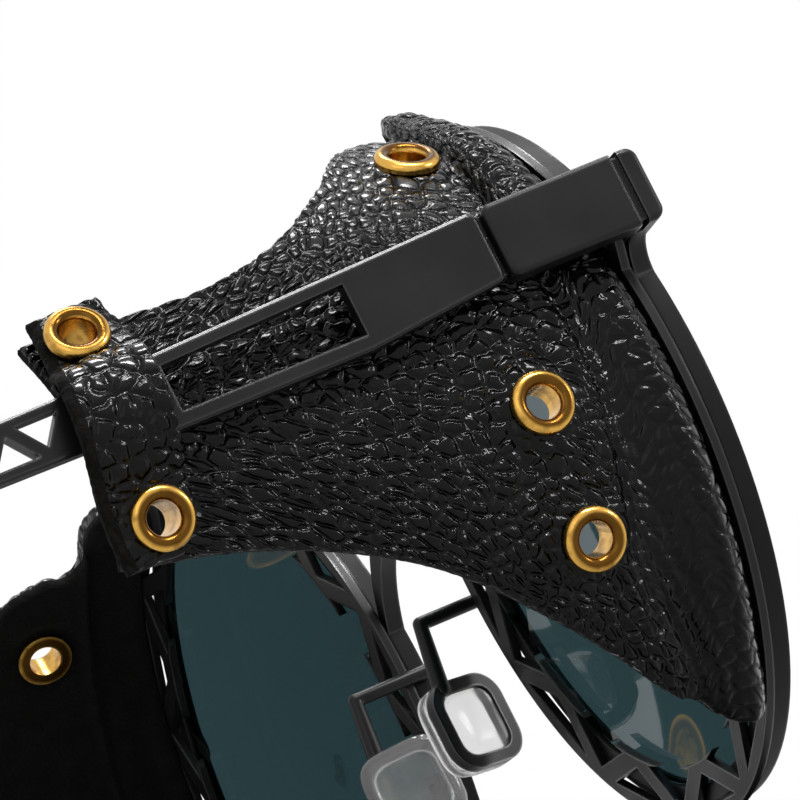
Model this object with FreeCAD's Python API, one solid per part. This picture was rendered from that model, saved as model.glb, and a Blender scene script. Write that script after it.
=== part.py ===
import FreeCAD, Part
import math
import os

from FreeCAD import Vector

# Round tinted goggles with leather side shields and folding temples, in millimetres.
# Working frame: X across the face, -Y to the front, +Z up, rim centres at z = 0, rim fronts at y = 0.
# The wearer's right side is modelled at negative X, and the left side is its mirror image.

# Rims and lenses
bridge_span = 21.7
rim_radius = 26.5
rim_wall = 2.1
rim_depth = 1.75
rim_step_depth = 0.35
rim_step_height = 0.8
groove_depth = 0.9
groove_front = 0.4
lens_edge_thickness = 0.85
lens_clearance = 0.05
lens_dome = 1.45
lens_thickness = 1.0

# Openwork guard rings behind the rims
guard_overhang = 0.7
guard_width = 4.5
guard_thickness = 0.7
guard_band = 0.8
guard_cutouts = 26
guard_cutout_share = 0.66
guard_tab_length = 1.9
guard_tab_angles_deg = (14.0, 19.0, 21.0)

# Bridge
bridge_height = 1.9
bridge_end_rise = 1.2
bridge_crest_rise = 9.2
bridge_sink = 1.5

# End pieces: corner lug and block
lug_length = 1.0
block_bottom = 9.05
block_height = 5.7
block_thickness = 2.0
block_end = 11.75
block_round = 0.4
block_corner = 0.8
lug_corner = 0.9
seam_front = 0.45
seam_width = 0.6
seam_depth = 0.35
neck_drop = 2.6
neck_length = 2.4
neck_share = 0.3

# Hinges
hinge_gap = 0.5
hinge_axis_inset = 0.45
barrel_radius = 1.0
barrel_clearance = 0.15
stack_inset = 0.5
knuckle_gap = 0.08
leaf_length = 5.5
leaf_thickness = 0.6
screw_radius = 0.55
screw_clearance = 0.03
screw_head_radius = 0.9
screw_head_height = 0.3
screw_slot_width = 0.25
screw_slot_depth = 0.15

# Temples
temple_thickness = 1.25
temple_top_drop = 0.1
temple_bottom_rise = 0.15
belly_drop = 1.1
truss_drop = 1.05
truss_height = 4.4
plate_end_drop = 0.5
plate_end_height = 3.4
front_plate_length = 11.45
window_length = 15.0
belly_length = 2.3
taper_length = 5.2
truss_length = 41.8
upper_rail = 1.0
lower_rail = 1.15
truss_rail = 0.9
truss_pitch = 2.6
truss_cutout_share = 0.66
edge_break = 0.2
temple_corner = 0.7
tang_length = 14.0
tang_height = 2.2

# Temple tips
tip_height = 4.6
tip_thickness = 3.0
tip_straight = 20.0
tip_bend_radius = 24.0
tip_bend_deg = 60.0
tip_clearance = 0.05
tip_round = 0.9

# Leather side shields
shield_length = 44.5
shield_overhang = 1.0
shield_side_overhang = 1.5
shield_thickness = 1.3
shield_gap = 0.3
loft_degree = 2
station_shares = (
    # along the shield, arc radius, side offset, rise of the arc centre, thickness
    (0.0, 0.965, 0.948, 0.0, 1.3),
    (0.045, 1.018, 1.0, 0.0, 1.75),
    (0.09, 1.022, 1.006, 0.01, 1.7),
    (0.125, 1.005, 0.99, 0.025, 1.15),
    (0.18, 1.03, 0.995, 0.05, 1.05),
    (0.26, 1.04, 1.008, 0.1, 1.0),
    (0.36, 1.01, 1.01, 0.2, 1.0),
    (0.48, 0.957, 1.003, 0.336, 1.0),
    (0.64, 0.887, 1.0, 0.479, 1.0),
    (0.82, 0.8, 1.0, 0.613, 1.0),
    (1.0, 0.71, 1.0, 0.714, 1.0),
)
station_edges_deg = (
    (76.0, -60.0),
    (76.0, -60.0),
    (70.0, -58.0),
    (63.0, -54.0),
    (59.0, -49.0),
    (54.0, -41.0),
    (46.0, -34.0),
    (36.5, -27.5),
    (30.0, -23.0),
    (29.5, -21.5),
    (32.0, -22.5),
)

# Straps that hold the shields to the temples
strap_width = 9.8
strap_overhang = 0.45
strap_thickness = 1.0
strap_seat_gap = 0.35
strap_top_tab = 3.0
strap_bottom_tab = 2.9
strap_tab_share = 0.92
strap_corner_rise = 3.2
strap_corner_length = 5.0

# Eyelets
eyelet_bore_radius = 1.28
eyelet_barrel_radius = 1.6
eyelet_flange_radius = 2.4
eyelet_flange_height = 0.8
eyelet_rim_height = 0.3
eyelet_roll_radius = 2.2
eyelet_roll_height = 0.35
eyelet_seat_gap = 0.2
eyelet_press = 0.05
eyelet_hole_clearance = 0.3
eyelet_along_shares = {
    "front_top": 0.185,
    "front_middle": 0.255,
    "front_bottom": 0.26,
    "rear_top": 0.9,
    "rear_bottom": 0.92,
}
eyelet_angles_deg = {
    "front_top": 47.0,
    "front_middle": -2.0,
    "front_bottom": -22.0,
    "rear_top": 25.0,
    "rear_bottom": -13.0,
}

# Nose pads
pad_inset = 1.85
pad_y = 6.0
pad_drop = 8.8
pad_turn_deg = 21.9
pad_width = 7.0
pad_height = 7.2
pad_corner = 2.2
pad_frame_wall = 1.0
pad_frame_depth = 0.9
pad_depth = 1.6
pad_round = 0.6
pad_clearance = 0.03
arm_radius = 0.55
arm_foot_radius = 0.7
arm_drop = 0.5
arm_inset = 1.35
arm_back = 6.9

overrun = 1.0
tolerance = 0.001

# Derived places
ring_x = -bridge_span / 2 - rim_radius
rim_inner_radius = rim_radius - rim_wall
guard_radius = rim_radius + guard_overhang
guard_inner_radius = guard_radius - guard_width
guard_front = rim_depth
guard_rear = guard_front + guard_thickness
groove_radius = rim_inner_radius + groove_depth
shield_radius = guard_radius + shield_overhang
shield_side = guard_radius + shield_side_overhang
temple_inner_x = ring_x - shield_side - shield_gap
temple_outer_x = temple_inner_x - temple_thickness
block_top = block_bottom + block_height
crown_height = block_bottom + block_height / 2
block_inner_x = temple_outer_x + block_thickness
hinge_x = temple_inner_x + hinge_axis_inset
hinge_y = block_end + hinge_gap / 2
temple_start = block_end + hinge_gap
stack_bottom = block_bottom + stack_inset
stack_height = block_height - 2 * stack_inset
knuckle_height = (stack_height - 2 * knuckle_gap) / 3
barrel_room = barrel_radius + barrel_clearance
shield_start = guard_rear
strap_end = shield_start + shield_length + strap_overhang
strap_start = strap_end - strap_width
temple_top = block_top - temple_top_drop
temple_front_bottom = block_bottom + temple_bottom_rise
temple_belly_bottom = temple_front_bottom - belly_drop
truss_top = temple_top - truss_drop
truss_bottom = truss_top - truss_height
plate_end_top = truss_top - plate_end_drop
plate_end_bottom = plate_end_top - plate_end_height
window_start = temple_start + front_plate_length
window_end = window_start + window_length
belly_end = window_end + belly_length
truss_start = belly_end + taper_length
plate_end = truss_start + truss_length
pad_x = bridge_span / 2 - pad_inset
arm_x = bridge_span / 2 - arm_inset
tip_centre = (plate_end_top + plate_end_bottom) / 2
tip_bend = math.radians(tip_bend_deg)
tip_bend_y = plate_end + tip_straight
tip_bend_drop = tip_bend_radius * (1 - math.cos(tip_bend))
tip_end_centre_z = tip_height / 2 - guard_radius
tip_leg = (tip_centre - tip_bend_drop - tip_end_centre_z) / math.sin(tip_bend)
tip_end_centre_y = tip_bend_y + tip_bend_radius * math.sin(tip_bend) + tip_leg * math.cos(tip_bend)
tip_end = tip_end_centre_y + tip_height / 2
placement = Vector(0, -(tip_end - lug_length) / 2, guard_radius)


def box(x_low, x_high, y_low, y_high, z_low, z_high):
    size = (x_high - x_low, y_high - y_low, z_high - z_low)
    return Part.makeBox(*size, Vector(x_low, y_low, z_low))


def disc(radius, y_low, y_high, x=ring_x):
    return Part.makeCylinder(radius, y_high - y_low, Vector(x, y_low, 0), Vector(0, 1, 0))


def upright(radius, z_low, z_high):
    return Part.makeCylinder(radius, z_high - z_low, Vector(hinge_x, hinge_y, z_low))


def face_of(points):
    return Part.Face(Part.makePolygon(list(points) + [points[0]]))


def slab_xz(points, y_low, y_high):
    face = face_of([Vector(x, y_low, z) for x, z in points])
    return face.extrude(Vector(0, y_high - y_low, 0))


def slab_yz(points, x_low, x_high):
    face = face_of([Vector(x_low, y, z) for y, z in points])
    return face.extrude(Vector(x_high - x_low, 0, 0))


def polar(radius, angle_deg):
    angle = math.radians(angle_deg)
    return ring_x - radius * math.cos(angle), radius * math.sin(angle)


def shrunk(points, share):
    middle_a = sum(a for a, b in points) / len(points)
    middle_b = sum(b for a, b in points) / len(points)
    return [(middle_a + share * (a - middle_a), middle_b + share * (b - middle_b)) for a, b in points]


def one(shape):
    return shape.removeSplitter()


def outer_edges(shape, x):
    return [e for e in shape.Edges if all(abs(v.X - x) < tolerance for v in e.Vertexes)]


def cross_edges(shape, y):
    ends = [(e, e.Vertexes[0], e.Vertexes[-1]) for e in shape.Edges]
    flat = [(e, a, b) for e, a, b in ends if abs(a.Y - y) < tolerance and abs(b.Y - y) < tolerance]
    return [e for e, a, b in flat if abs(a.X - b.X) > tolerance]


def rim():
    band = disc(rim_radius, 0, rim_depth)
    opening = disc(rim_inner_radius, -overrun, rim_depth + overrun)
    groove_rear = groove_front + lens_edge_thickness + 2 * lens_clearance
    groove = disc(groove_radius, groove_front, groove_rear)
    step_front = rim_depth - rim_step_depth
    step = disc(rim_radius + overrun, step_front, rim_depth).cut(
        disc(rim_radius - rim_step_height, step_front, rim_depth))
    return one(band.cut([opening, groove, step]))


def lens():
    seat_radius = groove_radius - lens_clearance
    dome_radius = rim_inner_radius - lens_clearance
    edge_front = groove_front + lens_clearance
    edge_rear = edge_front + lens_edge_thickness
    sphere = (dome_radius ** 2 + lens_dome ** 2) / (2 * lens_dome)
    half = dome_radius / 2
    half_sag = sphere - math.sqrt(sphere ** 2 - half ** 2)

    def arc(first_y, reverse):
        centre = Vector(ring_x, first_y - lens_dome, 0)
        middle = Vector(ring_x + half, first_y - lens_dome + half_sag, 0)
        edge = Vector(ring_x + dome_radius, first_y, 0)
        ends = (edge, middle, centre) if reverse else (centre, middle, edge)
        return Part.Arc(*ends).toShape()

    front = arc(edge_front, False)
    rear_y = edge_front - lens_dome + lens_thickness
    rear = arc(rear_y + lens_dome, True)
    outline = [
        Vector(ring_x + dome_radius, edge_front, 0),
        Vector(ring_x + seat_radius, edge_front, 0),
        Vector(ring_x + seat_radius, edge_rear, 0),
        Vector(ring_x + dome_radius, edge_rear, 0),
        Vector(ring_x + dome_radius, rear_y + lens_dome, 0),
    ]
    edges = [front]
    for first, second in zip(outline, outline[1:]):
        if first.distanceToPoint(second) > 0:
            edges.append(Part.makeLine(first, second))
    axis_line = Part.makeLine(Vector(ring_x, rear_y, 0), Vector(ring_x, edge_front - lens_dome, 0))
    face = Part.Face(Part.Wire(edges + [rear, axis_line]))
    return face.revolve(Vector(ring_x, 0, 0), Vector(0, 1, 0), 360)


def guard_ring():
    plate = disc(guard_radius, guard_front, guard_rear)
    plate = plate.cut(disc(guard_inner_radius, guard_front - overrun, guard_rear + overrun))
    radii = (guard_inner_radius, guard_radius)
    pitch = 360 / guard_cutouts
    cuts = []
    for k in range(guard_cutouts):
        base, apex = radii[k % 2], radii[(k + 1) % 2]
        corners = [polar(base, (k - 1) * pitch), polar(base, (k + 1) * pitch), polar(apex, k * pitch)]
        window = slab_xz(shrunk(corners, guard_cutout_share), guard_front - overrun, guard_rear + overrun)
        cuts.append(window)
    low, tip, high = guard_tab_angles_deg
    root = guard_radius - guard_band
    tab = slab_xz(
        [polar(root, low), polar(guard_radius + guard_tab_length, tip), polar(root, high)],
        guard_front, guard_rear)
    outline = plate.cut(cuts)
    return one(outline.fuse(tab))


def bridge():
    span = bridge_span / 2 + bridge_sink

    def arch(lift):
        left = Vector(-span, 0, bridge_end_rise + lift)
        top = Vector(0, 0, bridge_crest_rise + lift)
        right = Vector(span, 0, bridge_end_rise + lift)
        return Part.Arc(left, top, right).toShape(), left, right

    lower, lower_left, lower_right = arch(0)
    upper, upper_left, upper_right = arch(bridge_height)
    ends = [Part.makeLine(lower_right, upper_right), Part.makeLine(upper_left, lower_left)]
    wire = Part.Wire([lower, ends[0], upper, ends[1]])
    bar = Part.Face(wire).extrude(Vector(0, rim_depth - rim_step_depth, 0))
    rims = [disc(rim_radius, -overrun, rim_depth + overrun, x) for x in (ring_x, -ring_x)]
    return one(bar.cut(rims))


def end_piece():
    lug = box(temple_outer_x, ring_x - rim_inner_radius, -lug_length, rim_depth, block_bottom, block_top)
    block = box(temple_outer_x, block_inner_x, -lug_length, block_end, block_bottom, block_top)
    neck_x, neck_z = polar(rim_radius, math.degrees(math.asin((block_bottom - neck_drop) / rim_radius)))
    inner = ring_x - rim_inner_radius * math.cos(math.asin(block_bottom / rim_inner_radius))
    root = Vector(neck_x - neck_length, 0, block_bottom)
    waist = Vector(neck_x - neck_share * neck_length, 0, block_bottom - neck_share * neck_drop)
    foot = Vector(neck_x, 0, neck_z)
    heel = Vector(inner, 0, block_bottom)
    curve = Part.Arc(root, waist, foot).toShape()
    neck_face = Part.Face(Part.Wire([curve, Part.makeLine(foot, heel), Part.makeLine(heel, root)]))
    neck = neck_face.extrude(Vector(0, rim_depth - rim_step_depth, 0))
    body = one(lug.fuse(block))
    body = body.makeFillet(block_corner, cross_edges(body, block_end))
    body = body.makeFillet(lug_corner, cross_edges(body, -lug_length))
    body = body.makeFillet(block_round, outer_edges(body, temple_outer_x))
    seam_rear = seam_front + seam_width
    core = box(temple_outer_x + seam_depth, ring_x, seam_front, seam_rear,
               block_bottom + seam_depth, block_top - seam_depth)
    seam = box(temple_outer_x - overrun, block_inner_x, seam_front, seam_rear,
               block_bottom - overrun, block_top + overrun).cut(core)
    room = upright(barrel_room, stack_bottom - barrel_clearance, block_top + overrun)
    seat = disc(rim_radius, -lug_length - overrun, rim_depth + overrun)
    return one(body.fuse(neck).cut([seam, room, seat]))


def knuckle(index):
    low = stack_bottom + index * (knuckle_height + knuckle_gap)
    return low, low + knuckle_height


def hinge_front():
    leaf_x = block_inner_x + leaf_thickness
    leaf = box(block_inner_x, leaf_x, block_end - leaf_length, hinge_y - barrel_room,
               stack_bottom, stack_bottom + stack_height)
    shape = leaf
    for index in (0, 2):
        low, high = knuckle(index)
        arm = box(block_inner_x, leaf_x, hinge_y - barrel_room - overrun, hinge_y, low, high)
        shape = shape.fuse([arm, upright(barrel_radius, low, high)])
    top = stack_bottom + stack_height
    bore = upright(screw_radius + screw_clearance, stack_bottom - overrun, top + overrun)
    return one(shape.cut(bore))


def hinge_temple():
    leaf_x = temple_inner_x + leaf_thickness
    leaf = box(temple_inner_x, leaf_x, hinge_y + barrel_room, hinge_y + leaf_length,
               stack_bottom, stack_bottom + stack_height)
    low, high = knuckle(1)
    arm = box(temple_inner_x, leaf_x, hinge_y, hinge_y + barrel_room + overrun, low, high)
    bore = upright(screw_radius + screw_clearance, low - overrun, high + overrun)
    return one(leaf.fuse([arm, upright(barrel_radius, low, high)]).cut(bore))


def hinge_screw():
    top = stack_bottom + stack_height
    shaft = upright(screw_radius, stack_bottom, top)
    head = upright(screw_head_radius, top, top + screw_head_height)
    slot = box(hinge_x - screw_head_radius, hinge_x + screw_head_radius,
               hinge_y - screw_slot_width / 2, hinge_y + screw_slot_width / 2,
               top + screw_head_height - screw_slot_depth, top + screw_head_height + overrun)
    return one(shaft.fuse(head).cut(slot))


def along(y, points):
    for (y_low, z_low), (y_high, z_high) in zip(points, points[1:]):
        if y <= y_high:
            return z_low + (z_high - z_low) * (y - y_low) / (y_high - y_low)
    return points[-1][1]


top_line = [(temple_start, temple_top), (truss_start, truss_top), (plate_end, plate_end_top)]
bottom_line = [(temple_start, temple_front_bottom), (window_start, temple_belly_bottom),
               (belly_end, temple_belly_bottom), (truss_start, truss_bottom), (plate_end, plate_end_bottom)]


def temple():
    plate = slab_yz(top_line + bottom_line[::-1], temple_outer_x, temple_inner_x)
    plate = plate.makeFillet(temple_corner, cross_edges(plate, temple_start))
    plate = plate.makeChamfer(edge_break, outer_edges(plate, temple_outer_x))
    through = (temple_outer_x - overrun, temple_inner_x + overrun)
    window = slab_yz(
        [(window_start, along(window_start, top_line) - upper_rail),
         (window_end, along(window_end, top_line) - upper_rail),
         (window_end, along(window_end, bottom_line) + lower_rail),
         (window_start, along(window_start, bottom_line) + lower_rail)],
        *through)
    room = upright(barrel_room, stack_bottom - barrel_clearance, temple_top + overrun)
    cuts = [window, room]
    count = int((plate_end - truss_start) / truss_pitch) - 1
    for k in range(count):
        nodes = [truss_start + (k + step) * truss_pitch for step in (0, 1, 2)]
        rails = (along(nodes[1], top_line) - truss_rail / 2, along(nodes[1], bottom_line) + truss_rail / 2)
        base, apex = rails[k % 2], rails[(k + 1) % 2]
        corners = [(nodes[0], base), (nodes[2], base), (nodes[1], apex)]
        cuts.append(slab_yz(shrunk(corners, truss_cutout_share), *through))
    tang = box(temple_outer_x, temple_inner_x, plate_end - overrun, plate_end + tang_length,
               tip_centre - tang_height / 2, tip_centre + tang_height / 2)
    return one(plate.cut(cuts).fuse(tang))


def tip_point(y_share_of_bend, offset):
    angle = y_share_of_bend * tip_bend
    radius = tip_bend_radius + offset
    bend_centre_z = tip_centre - tip_bend_radius
    return Vector(0, tip_bend_y + radius * math.sin(angle), bend_centre_z + radius * math.cos(angle))


def temple_tip():
    half = tip_height / 2
    down = Vector(0, math.cos(tip_bend), -math.sin(tip_bend))
    end_centre = Vector(0, tip_end_centre_y, tip_end_centre_z)
    out = Vector(0, math.sin(tip_bend), math.cos(tip_bend))
    start_top = Vector(0, plate_end, tip_centre + half)
    start_bottom = Vector(0, plate_end, tip_centre - half)
    wire = Part.Wire([
        Part.makeLine(start_top, tip_point(0, half)),
        Part.Arc(tip_point(0, half), tip_point(0.5, half), tip_point(1, half)).toShape(),
        Part.makeLine(tip_point(1, half), end_centre + out * half),
        Part.Arc(end_centre + out * half, end_centre + down * half, end_centre - out * half).toShape(),
        Part.makeLine(end_centre - out * half, tip_point(1, -half)),
        Part.Arc(tip_point(1, -half), tip_point(0.5, -half), tip_point(0, -half)).toShape(),
        Part.makeLine(tip_point(0, -half), start_bottom),
        Part.makeLine(start_bottom, start_top),
    ])
    middle_x = (temple_outer_x + temple_inner_x) / 2
    sleeve = Part.Face(wire).extrude(Vector(tip_thickness, 0, 0))
    sleeve.translate(Vector(middle_x - tip_thickness / 2, 0, 0))
    for x in (middle_x - tip_thickness / 2, middle_x + tip_thickness / 2):
        sleeve = sleeve.makeFillet(tip_round, outer_edges(sleeve, x))
    room = temple_thickness / 2 + tip_clearance
    rise = tang_height / 2 + tip_clearance
    pocket = box(middle_x - room, middle_x + room, plate_end - overrun,
                 plate_end + tang_length + tip_clearance, tip_centre - rise, tip_centre + rise)
    return one(sleeve.cut(pocket))


def station(share):
    for low, high in zip(station_shares, station_shares[1:]):
        if share <= high[0]:
            mix = (share - low[0]) / (high[0] - low[0])
            return [a + mix * (b - a) for a, b in zip(low, high)]
    return station_shares[-1]


def shield_point(values, y, angle_deg, depth_share):
    radius = values[1] * shield_radius
    centre_x = ring_x - values[2] * shield_side + radius
    inner = radius - depth_share * values[4] * shield_thickness
    angle = math.radians(angle_deg)
    return Vector(centre_x - inner * math.cos(angle), y, values[3] * crown_height + inner * math.sin(angle))


def shield_panel():
    sections = []
    for values, (top, bottom) in zip(station_shares, station_edges_deg):
        y = shield_start + values[0] * shield_length
        middle = (top + bottom) / 2
        outer = [shield_point(values, y, angle, 0) for angle in (top, middle, bottom)]
        inner = [shield_point(values, y, angle, 1) for angle in (bottom, middle, top)]
        sections.append(Part.Wire([
            Part.Arc(*outer).toShape(), Part.makeLine(outer[2], inner[0]),
            Part.Arc(*inner).toShape(), Part.makeLine(inner[2], outer[0])]))
    return Part.makeLoft(sections, True, False, False, loft_degree)


def surface(along_share, angle_deg):
    y = shield_start + along_share * shield_length
    return shield_point(station(along_share), y, angle_deg, 0)


def eyelet_place(name):
    share, angle = eyelet_along_shares[name], eyelet_angles_deg[name]
    reach_share = eyelet_flange_radius / shield_length
    turn_deg = math.degrees(eyelet_flange_radius / shield_radius)
    lengthwise = surface(share + reach_share, angle) - surface(share - reach_share, angle)
    upwards = surface(share, angle + turn_deg) - surface(share, angle - turn_deg)
    normal = upwards.cross(lengthwise).normalize()
    return surface(share, angle), normal


def stack_outside(name):
    if name.startswith("rear"):
        return strap_seat_gap + strap_thickness + eyelet_seat_gap
    return eyelet_seat_gap


def eyelet_hole(name, clearance):
    place, normal = eyelet_place(name)
    reach = stack_outside(name) + eyelet_flange_height + overrun
    depth = reach + 2 * shield_thickness
    return Part.makeCylinder(eyelet_barrel_radius + clearance, depth, place + normal * reach, normal * -1)


def eyelet_seat(name):
    place, normal = eyelet_place(name)
    seat_radius = eyelet_flange_radius + eyelet_hole_clearance
    foot = place + normal * (stack_outside(name) - eyelet_press)
    return Part.makeCylinder(seat_radius, eyelet_flange_radius, foot, normal)


def side_shield():
    holes = [eyelet_hole(name, eyelet_hole_clearance) for name in eyelet_angles_deg]
    seats = [eyelet_seat(name) for name in eyelet_angles_deg]
    return shield_panel().cut(holes + seats)


def across_strap(line):
    between = [z for y, z in line if strap_start < y < strap_end]
    return [along(strap_start, line), along(strap_end, line)] + between


def strap():
    tops, top_normal = eyelet_place("rear_top")
    bottoms, bottom_normal = eyelet_place("rear_bottom")
    top_up = Vector(-top_normal.z, 0, top_normal.x) * -1
    bottom_up = Vector(-bottom_normal.z, 0, bottom_normal.x) * -1
    top_seat = tops + top_normal * strap_seat_gap
    bottom_seat = bottoms + bottom_normal * strap_seat_gap
    clear_x = temple_outer_x - shield_gap
    crest = max(across_strap(top_line)) + shield_gap
    foot = min(across_strap(bottom_line)) - shield_gap
    inner = [
        top_seat + top_up * strap_top_tab,
        top_seat - top_up * (strap_tab_share * strap_top_tab),
        Vector(clear_x, 0, crest),
        Vector(clear_x, 0, foot),
        bottom_seat + bottom_up * (strap_tab_share * strap_bottom_tab),
        bottom_seat - bottom_up * strap_bottom_tab,
    ]
    inner = [(p.x, p.z) for p in inner]
    outer = offset_line(inner, strap_thickness)
    body = slab_xz(inner + outer[::-1], strap_start, strap_end)
    low = inner[-1][1] - overrun
    corner = slab_yz(
        [(strap_start - overrun, low), (strap_start + strap_corner_length, low),
         (strap_start - overrun, inner[-1][1] + strap_corner_rise)],
        temple_outer_x - strap_corner_length, ring_x)
    names = ("rear_top", "rear_bottom")
    holes = [eyelet_hole(name, 0) for name in names]
    seats = [eyelet_seat(name) for name in names]
    return one(body.cut([corner] + holes + seats))


def offset_line(points, distance):
    normals = []
    for (x_a, z_a), (x_b, z_b) in zip(points, points[1:]):
        length = math.hypot(x_b - x_a, z_b - z_a)
        normals.append(((z_b - z_a) / length, -(x_b - x_a) / length))
    moved = []
    for index, (x, z) in enumerate(points):
        before = normals[max(index - 1, 0)]
        after = normals[min(index, len(normals) - 1)]
        scale = distance / (1 + before[0] * after[0] + before[1] * after[1])
        moved.append((x + scale * (before[0] + after[0]), z + scale * (before[1] + after[1])))
    return moved


def eyelet(name):
    place, normal = eyelet_place(name)
    outside = stack_outside(name)
    inside = station(eyelet_along_shares[name])[4] * shield_thickness + eyelet_seat_gap
    crest_radius = (eyelet_bore_radius + eyelet_flange_radius) / 2
    profile = [
        (eyelet_bore_radius, -inside - eyelet_roll_height),
        (eyelet_roll_radius, -inside - eyelet_rim_height),
        (eyelet_roll_radius, -inside),
        (eyelet_barrel_radius, -inside),
        (eyelet_barrel_radius, outside),
        (eyelet_flange_radius, outside),
        (eyelet_flange_radius, outside + eyelet_rim_height),
    ]
    points = [Vector(r, 0, h) for r, h in profile]
    lines = [Part.makeLine(a, b) for a, b in zip(points, points[1:])]
    mouth = Vector(eyelet_bore_radius, 0, outside + eyelet_rim_height)
    crest = Vector(crest_radius, 0, outside + eyelet_flange_height)
    lines.append(Part.Arc(points[-1], crest, mouth).toShape())
    lines.append(Part.makeLine(mouth, points[0]))
    body = Part.Face(Part.Wire(lines)).revolve(Vector(0, 0, 0), Vector(0, 0, 1), 360)
    body.Placement = FreeCAD.Placement(place, FreeCAD.Rotation(Vector(0, 0, 1), normal))
    return body


def rounded_plate(width, height, corner, depth):
    plate = box(0, depth, -width / 2, width / 2, -height / 2, height / 2)
    corners = [e for e in plate.Edges if abs(e.Vertexes[0].X - e.Vertexes[1].X) > depth / 2]
    return plate.makeFillet(corner, corners)


def set_pad(shape):
    shape.Placement = FreeCAD.Placement(
        Vector(-pad_x, pad_y, -pad_drop), FreeCAD.Rotation(Vector(0, 0, 1), pad_turn_deg))
    return shape


def nose_pad():
    gap = pad_frame_wall + pad_clearance
    plug_depth = pad_frame_depth + pad_depth / 2
    plug = rounded_plate(pad_width - 2 * gap, pad_height - 2 * gap, pad_corner - gap, plug_depth)
    slab = rounded_plate(pad_width, pad_height, pad_corner, pad_depth)
    slab = slab.makeFillet(pad_round, outer_edges(slab, pad_depth))
    slab.translate(Vector(pad_frame_depth + pad_clearance, 0, 0))
    return set_pad(one(slab.fuse(plug)))


def rod(points, radii):
    shape = Part.makeSphere(radii[0], points[0])
    for start, end, first, last in zip(points, points[1:], radii, radii[1:]):
        reach = end - start
        if first == last:
            run = Part.makeCylinder(first, reach.Length, start, reach)
        else:
            run = Part.makeCone(first, last, reach.Length, start, reach)
        shape = shape.fuse([run, Part.makeSphere(last, end)])
    return shape


def nose_pad_frame():
    frame = rounded_plate(pad_width, pad_height, pad_corner, pad_frame_depth)
    hole = rounded_plate(pad_width - 2 * pad_frame_wall, pad_height - 2 * pad_frame_wall,
                         pad_corner - pad_frame_wall, pad_frame_depth)
    frame = set_pad(frame.cut(hole))
    root_y = (rim_depth - rim_step_depth) / 2
    ring_top = pad_height / 2 - pad_frame_wall / 2
    turn = math.radians(pad_turn_deg)
    side = pad_width / 4
    joint_x = -pad_x + pad_frame_depth / 2 - side * math.sin(turn)
    joint_y = pad_y + side * math.cos(turn)
    wire = rod([
        Vector(ring_x + rim_radius - arm_radius, root_y, -arm_drop),
        Vector(-arm_x, root_y, -arm_drop),
        Vector(-arm_x, arm_back, -arm_drop),
        Vector(joint_x, joint_y, ring_top - pad_drop),
    ], (arm_radius, arm_radius, arm_radius, arm_foot_radius))
    room_width, room_height = pad_width + 2 * pad_clearance, pad_height + 2 * pad_clearance
    pad_room = rounded_plate(room_width, room_height, pad_corner, pad_depth + overrun)
    pad_room.translate(Vector(pad_frame_depth, 0, 0))
    pad_room = set_pad(one(pad_room.fuse(hole)))
    seat = disc(rim_radius, -overrun, rim_depth + overrun)
    return one(frame.fuse(wire.cut([seat, pad_room])))


def export(name, shape):
    shape = shape.copy()
    shape.translate(placement)
    shape.exportStep("parts/" + name + ".step")
    print(name, len(shape.Solids), shape.isValid(), round(shape.Volume, 1))


os.makedirs("parts", exist_ok=True)
export("bridge", bridge())
side_parts = {
    "rim": rim(),
    "lens": lens(),
    "guard_ring": guard_ring(),
    "end_piece": end_piece(),
    "hinge_front": hinge_front(),
    "hinge_temple": hinge_temple(),
    "hinge_screw": hinge_screw(),
    "temple": temple(),
    "temple_tip": temple_tip(),
    "side_shield": side_shield(),
    "shield_strap": strap(),
    "nose_pad_frame": nose_pad_frame(),
    "nose_pad": nose_pad(),
}
for eyelet_name in eyelet_angles_deg:
    side_parts["eyelet_" + eyelet_name] = eyelet(eyelet_name)
for part_name, right_shape in side_parts.items():
    export(part_name + "_right", right_shape)
    export(part_name + "_left", right_shape.mirror(Vector(0, 0, 0), Vector(1, 0, 0)))
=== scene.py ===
import math

import bpy
import numpy as np
from mathutils import Matrix, Vector, noise


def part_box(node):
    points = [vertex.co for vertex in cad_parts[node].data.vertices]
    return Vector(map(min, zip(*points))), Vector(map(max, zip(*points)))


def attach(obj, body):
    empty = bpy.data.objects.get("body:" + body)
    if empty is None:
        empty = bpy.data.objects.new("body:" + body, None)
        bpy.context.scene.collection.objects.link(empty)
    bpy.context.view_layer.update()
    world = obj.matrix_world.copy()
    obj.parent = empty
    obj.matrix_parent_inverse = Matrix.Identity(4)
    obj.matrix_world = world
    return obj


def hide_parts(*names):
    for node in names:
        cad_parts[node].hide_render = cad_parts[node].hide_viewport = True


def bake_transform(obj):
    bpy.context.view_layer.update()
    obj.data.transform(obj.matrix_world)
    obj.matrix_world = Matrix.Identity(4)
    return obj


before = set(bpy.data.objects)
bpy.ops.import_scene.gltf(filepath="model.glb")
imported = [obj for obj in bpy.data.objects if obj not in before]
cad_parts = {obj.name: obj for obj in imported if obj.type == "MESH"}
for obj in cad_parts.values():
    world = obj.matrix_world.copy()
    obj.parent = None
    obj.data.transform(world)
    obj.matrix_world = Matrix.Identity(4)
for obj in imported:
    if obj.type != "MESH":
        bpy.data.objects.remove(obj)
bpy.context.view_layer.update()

# Round goggles with leather side panels. All lengths are in metres.
# The wearer's right side is at negative X and the left side is its mirror image.
MM = 0.001
micrometre_digits = 6

# Places taken from the frame
rim_low, rim_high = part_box("rim_right")
ring_x = (rim_low.x + rim_high.x) / 2
ring_z = (rim_low.z + rim_high.z) / 2
rim_front = rim_low.y
panel_low, panel_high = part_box("side_shield_right")
panel_start = panel_low.y
panel_length = panel_high.y - panel_low.y

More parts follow.
